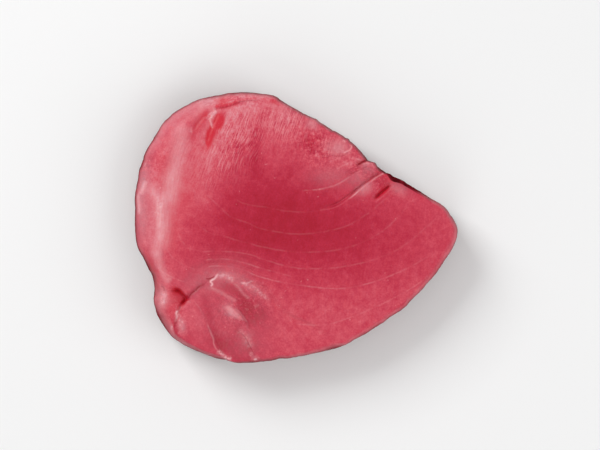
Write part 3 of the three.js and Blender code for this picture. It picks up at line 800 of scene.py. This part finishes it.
from_focus = plan - FAN_FOCUS
fan_turn = np.arctan2(from_focus[:, 0], -from_focus[:, 1])
fan = (FAN_RADIUS * fan_turn + layered_noise(plan, FAN_SWAY), np.linalg.norm(from_focus, axis=1))
along_lobe = np.array([np.cos(LOBE_LEAN), np.sin(LOBE_LEAN)])
lobe = (plan @ (along_lobe[::-1] * [-1, 1]), plan @ along_lobe)
_, _, lobe_side, _ = near_line(smooth_line(LOBE_BORDER, SEAM_STEPS), plan, margin=np.inf)
in_lobe = smoothstep(lobe_side, -LOBE_BLEND, LOBE_BLEND)
_, beside, side, share = near_line(smooth_line(SHEATH, SEAM_STEPS), plan, margin=np.inf)
sheath = (side, share * SHEATH_LENGTH)
in_sheath = (1 - smoothstep(beside, *SHEATH_EDGE)) * (1 - in_lobe)
print("in the lobe:", int(in_lobe.sum()), "vertices, in the sheath:", int(in_sheath.sum()))

# %% Where pale strokes of fibre stand out
STROKE_HILLS = [
    (0.95, -24, 36, 9, 12, -30), (0.4, -34, 24, 6, 9, -30), (0.8, -3, 43, 10, 8), (0.25, 14, 32, 10, 6, 35),
    (0.2, -44, 30, 6, 9), (0.12, -28, -40, 10, 8),
]
strokes = covered("strokes", hills=STROKE_HILLS)

# %% Store the marks
numbers = {
    "tone": tone, "blood": blood, "pale": pale, "scraps": scraps * on_top, "cavity": cavity * on_top,
    "flank": flank, "haze": haze * on_top, "torn": torn, "in_lobe": in_lobe, "in_sheath": in_sheath,
    "strokes": strokes,
}
for name, (offset, strength) in hairlines.items():
    numbers |= {name + "_offset": offset, name + "_strength": strength * (1 if name == "sheet" else on_top)}
for name, values in numbers.items():
    mesh.attributes.new(name, "FLOAT", "POINT").data.foreach_set("value", values.astype(np.float32))
for name, across_and_along in {"fan": fan, "lobe": lobe, "sheath": sheath}.items():
    vectors = np.column_stack([*across_and_along, np.zeros(len(plan))])
    stored = mesh.attributes.new(name, "FLOAT_VECTOR", "POINT").data
    stored.foreach_set("vector", vectors.astype(np.float32).ravel())
print("marks:", [attribute.name for attribute in mesh.attributes if not attribute.is_internal])

# %% [markdown]
# ## Shader maths
#
# A material is a graph of nodes, and a long formula is hard to wire by hand. This small class wraps an
# output socket, so that a Python expression adds its Math nodes.

# %% Wires
class Wire:
    """An output socket that does arithmetic. A Wire without a socket is the bare tree to start from."""

    def __init__(self, tree, socket=None):
        self.tree, self.socket = tree, socket

    def node(self, kind, settings=None, inputs=None, output=0):
        """Makes any node: its settings first, then the values or links of its inputs, by name or number."""
        made = self.tree.nodes.new(kind)
        for name, value in (settings or {}).items():
            if name == "stops":
                self.set_stops(made.color_ramp, value)
            else:
                setattr(made, name, value)
        for name, value in (inputs or {}).items():
            if isinstance(value, Wire):
                self.tree.links.new(value.socket, made.inputs[name])
            else:
                made.inputs[name].default_value = value
        return Wire(self.tree, made.outputs[output] if made.outputs else None)

    @staticmethod
    def set_stops(ramp, stops):
        """Gives a colour ramp its stops, each a position and a colour."""
        while len(ramp.elements) < len(stops):
            ramp.elements.new(1)
        for element, (position, colour) in zip(ramp.elements, stops):
            element.position, element.color = position, colour

    def maths(self, operation, *values):
        """One Math node, whose inputs are wires or numbers."""
        return self.node("ShaderNodeMath", {"operation": operation}, dict(enumerate(values)))

    def __add__(self, other):
        return self.maths("ADD", self, other)

    def __sub__(self, other):
        return self.maths("SUBTRACT", self, other)

    def __rsub__(self, other):
        return self.maths("SUBTRACT", other, self)

    def __mul__(self, other):
        return self.maths("MULTIPLY", self, other)

    def __truediv__(self, other):
        return self.maths("DIVIDE", self, other)

    __radd__, __rmul__ = __add__, __mul__


# %% Values and colours
def ease(value, low, high):
    """0 below low and 1 above high, with a soft S between them."""
    return value.node(
        "ShaderNodeMapRange", {"interpolation_type": "SMOOTHSTEP"},
        {"Value": value, "From Min": low, "From Max": high},
    )


def swing(value, amount):
    """A noise, whose mean is 0.5, as a number that swings about 0 by an amount."""
    return (value - 0.5) * amount


def between(base, other, share):
    """base where the share is 0, other where it is 1."""
    return base + (other - base) * share


def colour(code):
    """A colour written as on screen, six hexadecimal digits, as the linear numbers that a shader wants."""
    screen = np.array([int(code[at:at + 2], 16) for at in (0, 2, 4)]) / 255
    linear = np.where(screen < 0.04045, screen / 12.92, ((screen + 0.055) / 1.055) ** 2.4)
    return (*linear, 1.0)


def tint(base, over, amount):
    """The base colour, covered by another one by an amount from 0 to 1."""
    return amount.node("ShaderNodeMix", {"data_type": "RGBA"}, {6: base, 7: over, 0: amount}, output=2)


# %% [markdown]
# ## Grain and strands
#
# Raw flesh is never one even colour: it is cloudy over centimetres, mottled over millimetres, grainy below
# that, and its fibres lie in bundles. Each could be a picture, but noise textures come in any size and
# never repeat. The fibres' noise reads the places that were stored across and along them.

# %% The material's graph, and what it reads
tuna = bpy.data.materials.new("raw_tuna")
tuna.use_nodes = True
tuna.node_tree.nodes.clear()
graph = Wire(tuna.node_tree)


def mark(name, output="Fac"):
    """A number that is stored on the vertices, or with the output Vector a vector."""
    return graph.node("ShaderNodeAttribute", {"attribute_name": name}, output=output)


def noise(vector, scale, detail=2.0, distortion=0.0):
    """A cloudy noise from 0 to 1, with so many clouds to the unit."""
    sockets = {"Vector": vector, "Scale": scale, "Detail": detail, "Distortion": distortion}
    return graph.node("ShaderNodeTexNoise", {}, sockets, output="Fac")


def scaled(vector, *factors):
    """Each of a vector's three numbers times its own factor."""
    return graph.node("ShaderNodeVectorMath", {"operation": "MULTIPLY"}, {0: vector, 1: factors})


def strands(name, across, along, **settings):
    """Noise whose features are so many millimetres wide across the fibres and so many long along them."""
    return noise(scaled(mark(name, "Vector"), 1 / across, 1 / along, 1), 1.0, **settings)


# %% Noise in four sizes, fine fibres and broad bundles
place = graph.node("ShaderNodeTexCoord", output="Object")
patches = noise(place, 140.0)
mottle = noise(place, 420.0, detail=3.0)
chunks = noise(place, 800.0, detail=1.0)
grain = noise(place, 1500.0)
lobe_share, torn_share, stroke_share = mark("in_lobe"), mark("torn"), mark("strokes")
fibre = between(strands("fan", 0.55, 7, detail=1.0), strands("lobe", 0.9, 7, detail=1.0), lobe_share)
fibre = between(fibre, strands("sheath", 0.6, 6, detail=1.0), mark("in_sheath"))
bundle = between(strands("fan", 2.6, 24), strands("lobe", 2.2, 16), lobe_share)
brushed = strands("fan", 0.46, 4.2, detail=1.0, distortion=0.2)
print("the material has", len(tuna.node_tree.nodes), "nodes")

# %% [markdown]
# ## The tone of the flesh
#
# Muscle is deep crimson, and flesh near the skin is rose. A painted map could hold that, but one number
# does: the stored tone, moved up and down by the noises, looks its colour up on a ramp.

# %% The red itself
FLESH_TONES = [  # from pale rose to deep crimson
    (0.0, "e0949c"), (0.22, "dc7984"), (0.42, "d65968"), (0.6, "c93f54"), (0.8, "ba2842"), (1.0, "ae1d34"),
]

grooming = graph.maths("MAXIMUM", stroke_share * 0.9 + 0.25, lobe_share * 0.35)
depth = mark("tone") + swing(patches, 0.24) + swing(mottle, 0.34 + torn_share * 0.5)
depth = depth + swing(grain, 0.3 + torn_share * 0.5) + swing(chunks, torn_share)
depth = depth - (swing(fibre, 0.34) + swing(bundle, 0.34)) * grooming - swing(brushed, stroke_share * 0.7)
stops = [(position, colour(code)) for position, code in FLESH_TONES]
red = graph.node("ShaderNodeValToRGB", {"stops": stops}, {"Fac": depth}, output="Color")
print(len(stops), "tones of red")

# %% [markdown]
# ## Layers of tissue, blood and painted shade
#
# Over the red lie blood, grey tissue, pale strokes of fibre, sheets, scraps, and painted shade in furrows and
# creases. Each could be a material of its own, but they fade into one another, so each is a tint over the
# colour so far, by an amount that noise breaks up.

# %% The amounts of the layers
def hairline(name, width):
    """A soft line as wide as that, in millimetres, whose distance wavers a little."""
    offset = (mark(name + "_offset") + swing(mottle, 0.5)) / width
    return graph.maths("EXPONENT", 0 - offset * offset) * mark(name + "_strength")


blood_share, scrap_share = mark("blood"), mark("scraps")
clumps = ease(patches * 0.5 + mottle * 0.5, 0.4, 0.58)
brushwork = ease(brushed * 0.85 + chunks * 0.15, 0.5, 0.6) * stroke_share * (0.25 + clumps * 0.85)
flecks = ease(noise(place, 1300.0, detail=1.0), 0.58, 0.7) * torn_share
broken = ease(noise(place, 260.0), 0.38, 0.6)
band = mark("pale") * (mottle * 1.2 + chunks * 0.8 + fibre * 0.8 - 0.4)
bits = ease(noise(place, 1100.0), 0.38, 0.66)
speck = ease(noise(place, 700.0, detail=0.0), 0.83, 0.88)

# %% The colours of the layers
# the dark red of the creases is painted shade
BLOOD_RED, CREASE_SHADE_RED = colour("d02a3c"), colour("9c1a2e")
# the reds of the painted shade in deep furrows and throats
FURROW_SHADE_RED, FURROW_SHADE_DEEP = colour("f02442"), colour("bc162c")
STROKE_PINK, TISSUE_AND_SHEEN_PINK = colour("e89fa6"), colour("e7a2a8")
HAZE_GREY, SCRAP_WHITE = colour("bf9199"), colour("f4bcc1")

layers = [
    (BLOOD_RED, blood_share * (0.9 + bundle * 0.3)),
    (HAZE_GREY, mark("haze") * (mottle * 1.2 + chunks * 0.9 - 0.15)),
    (STROKE_PINK, brushwork * (1 - blood_share) * 0.56),
    (STROKE_PINK, flecks * 0.22),
    (TISSUE_AND_SHEEN_PINK, hairline("sheet", 0.3) * (0.2 + broken * 0.8) * 0.7),
    # the pale band: pale tissue, and in part painted sheen
    (TISSUE_AND_SHEEN_PINK, band),
    (SCRAP_WHITE, scrap_share * (0.25 + bits * 0.6)),
    (SCRAP_WHITE, hairline("curl", 0.36) * (0.5 + mottle * 0.9)),
    (SCRAP_WHITE, speck * 0.18),
    # painted shade in deep furrows and throats, a more vivid red where there is blood
    (tint(FURROW_SHADE_DEEP, FURROW_SHADE_RED, blood_share), mark("cavity")),
    # painted shade along closed furrows and cracks
    (CREASE_SHADE_RED, hairline("crease", 0.3) * (0.5 + mottle * 0.7)),
]
for over, amount in layers:
    red = tint(red, over, amount)
print(len(layers), "layers of colour")

# %% [markdown]
# ## Moist flesh and dull membrane
#
# Raw tuna is translucent and moist: light enters it, turns red and leaves a few millimetres away, and a thin
# film of juice gives it a soft gloss. Plain red would look like plastic, so subsurface scattering gives the
# depth and a weak coat the film. The membrane is neither moist nor clear, so it is a second shader, mixed in
# by its stored number. Along the rim its dark colours also paint shade.

# %% The two shaders and their mix
# the membrane's colours, which along the rim also paint shade
MEMBRANE_SHADE_DARK, MEMBRANE_SHADE_LIGHT = colour("4e0c12"), colour("821a26")

streaks = noise(scaled(place, 350, 350, 70), 1.0)
membrane_and_rim_shade_share = mark("flank") * (0.7 + ease(streaks * 0.4 + patches * 0.6, 0.3, 0.5) * 0.3)
relief = fibre * 0.5 + mottle * 0.4 + grain * 0.15 + band * 0.3 + bits * scrap_share
bumped = graph.node("ShaderNodeBump", {}, {"Strength": 0.6, "Distance": 0.00025, "Height": relief})
moist = graph.node("ShaderNodeBsdfPrincipled", {"subsurface_method": "RANDOM_WALK"}, {
    "Base Color": red,
    "Roughness": 0.36 + band * 0.12 + mottle * 0.14,
    "Normal": bumped,
    "IOR": 1.38,
    "Specular IOR Level": 0.25,
    "Subsurface Weight": 0.3,
    "Subsurface Radius": (1.0, 0.3, 0.22),
    "Subsurface Scale": 0.0015,
    "Coat Weight": 0.08,
    "Coat Roughness": 0.2,
})
dull = graph.node("ShaderNodeBsdfPrincipled", {}, {
    "Base Color": tint(MEMBRANE_SHADE_DARK, MEMBRANE_SHADE_LIGHT, ease(streaks, 0.3, 0.8)),
    "Roughness": 0.8,
    "Specular IOR Level": 0.0,
    "Normal": bumped,
})
both = graph.node("ShaderNodeMixShader", {}, {0: membrane_and_rim_shade_share, 1: moist, 2: dull})
graph.node("ShaderNodeOutputMaterial", {}, {"Surface": both})
mesh.materials.append(tuna)
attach(flesh, "root")
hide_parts("steak")
print("the material has", len(tuna.node_tree.nodes), "nodes")

# %% [markdown]
# ## The table, the light and the camera
#
# The slice is shown on a plain pale table. A lamp above it would show as a glare on the moist face, so
# three wide lamps stand aside, 30 to 40 degrees above the table. The face then mirrors only the even, dim
# sky and keeps its deep red.

# %% Table
TABLE_SIDE = 4.0
table_mesh = bpy.data.meshes.new("table")
corners = [(x * TABLE_SIDE / 2, y * TABLE_SIDE / 2, 0) for x, y in ((-1, -1), (1, -1), (1, 1), (-1, 1))]
table_mesh.from_pydata(corners, [], [(0, 1, 2, 3)])
pale_table = bpy.data.materials.new("pale_table")
pale_table.use_nodes = True
table_shader = pale_table.node_tree.nodes["Principled BSDF"]
table_shader.inputs["Base Color"].default_value = (0.9, 0.9, 0.9, 1)
table_shader.inputs["Roughness"].default_value = 0.7
table_mesh.materials.append(pale_table)
add_object("table", table_mesh)
print("the table is", TABLE_SIDE, "m wide")

# %% Lamps
LAMPS = {  # place, side in metres, power in watts
    "key": ((-0.75, 0.75, 0.85), 0.7, 10.8),
    "fill": ((0.95, -0.35, 0.75), 0.9, 5.3),
    "low": ((-0.2, -1.1, 0.7), 0.9, 3.0),
}
for name, (stand, width, power) in LAMPS.items():
    lamp = bpy.data.lights.new(name, "AREA")
    lamp.energy, lamp.size = power, width
    holder = add_object(name, lamp)
    holder.location = stand
    holder.rotation_euler = (-Vector(stand)).to_track_quat("-Z", "Y").to_euler()

world = bpy.data.worlds.new("soft_white")
world.use_nodes = True
background = world.node_tree.nodes["Background"]
background.inputs["Color"].default_value = (1, 1, 1, 1)
background.inputs["Strength"].default_value = 0.42
bpy.context.scene.world = world
bpy.context.scene.view_settings.view_transform = "Standard"
print("lamps:", list(LAMPS))

# %% Camera, straight above
VIEW_WIDTH = 0.24  # metres of table across the picture
CAMERA_HEIGHT = 0.9
VIEW_MIDDLE = (1.6, 1.0)  # in the outline's millimetres

camera = bpy.data.cameras.new("camera")
camera.lens = camera.sensor_width * CAMERA_HEIGHT / VIEW_WIDTH
holder = add_object("camera", camera)
view_x, view_y = (np.array(VIEW_MIDDLE) * stretch[:2] + shift[:2]) * MM
holder.location = (view_x, view_y, WAIST * MM + CAMERA_HEIGHT)
bpy.context.scene.camera = holder
print("focal length:", round(camera.lens), "mm")
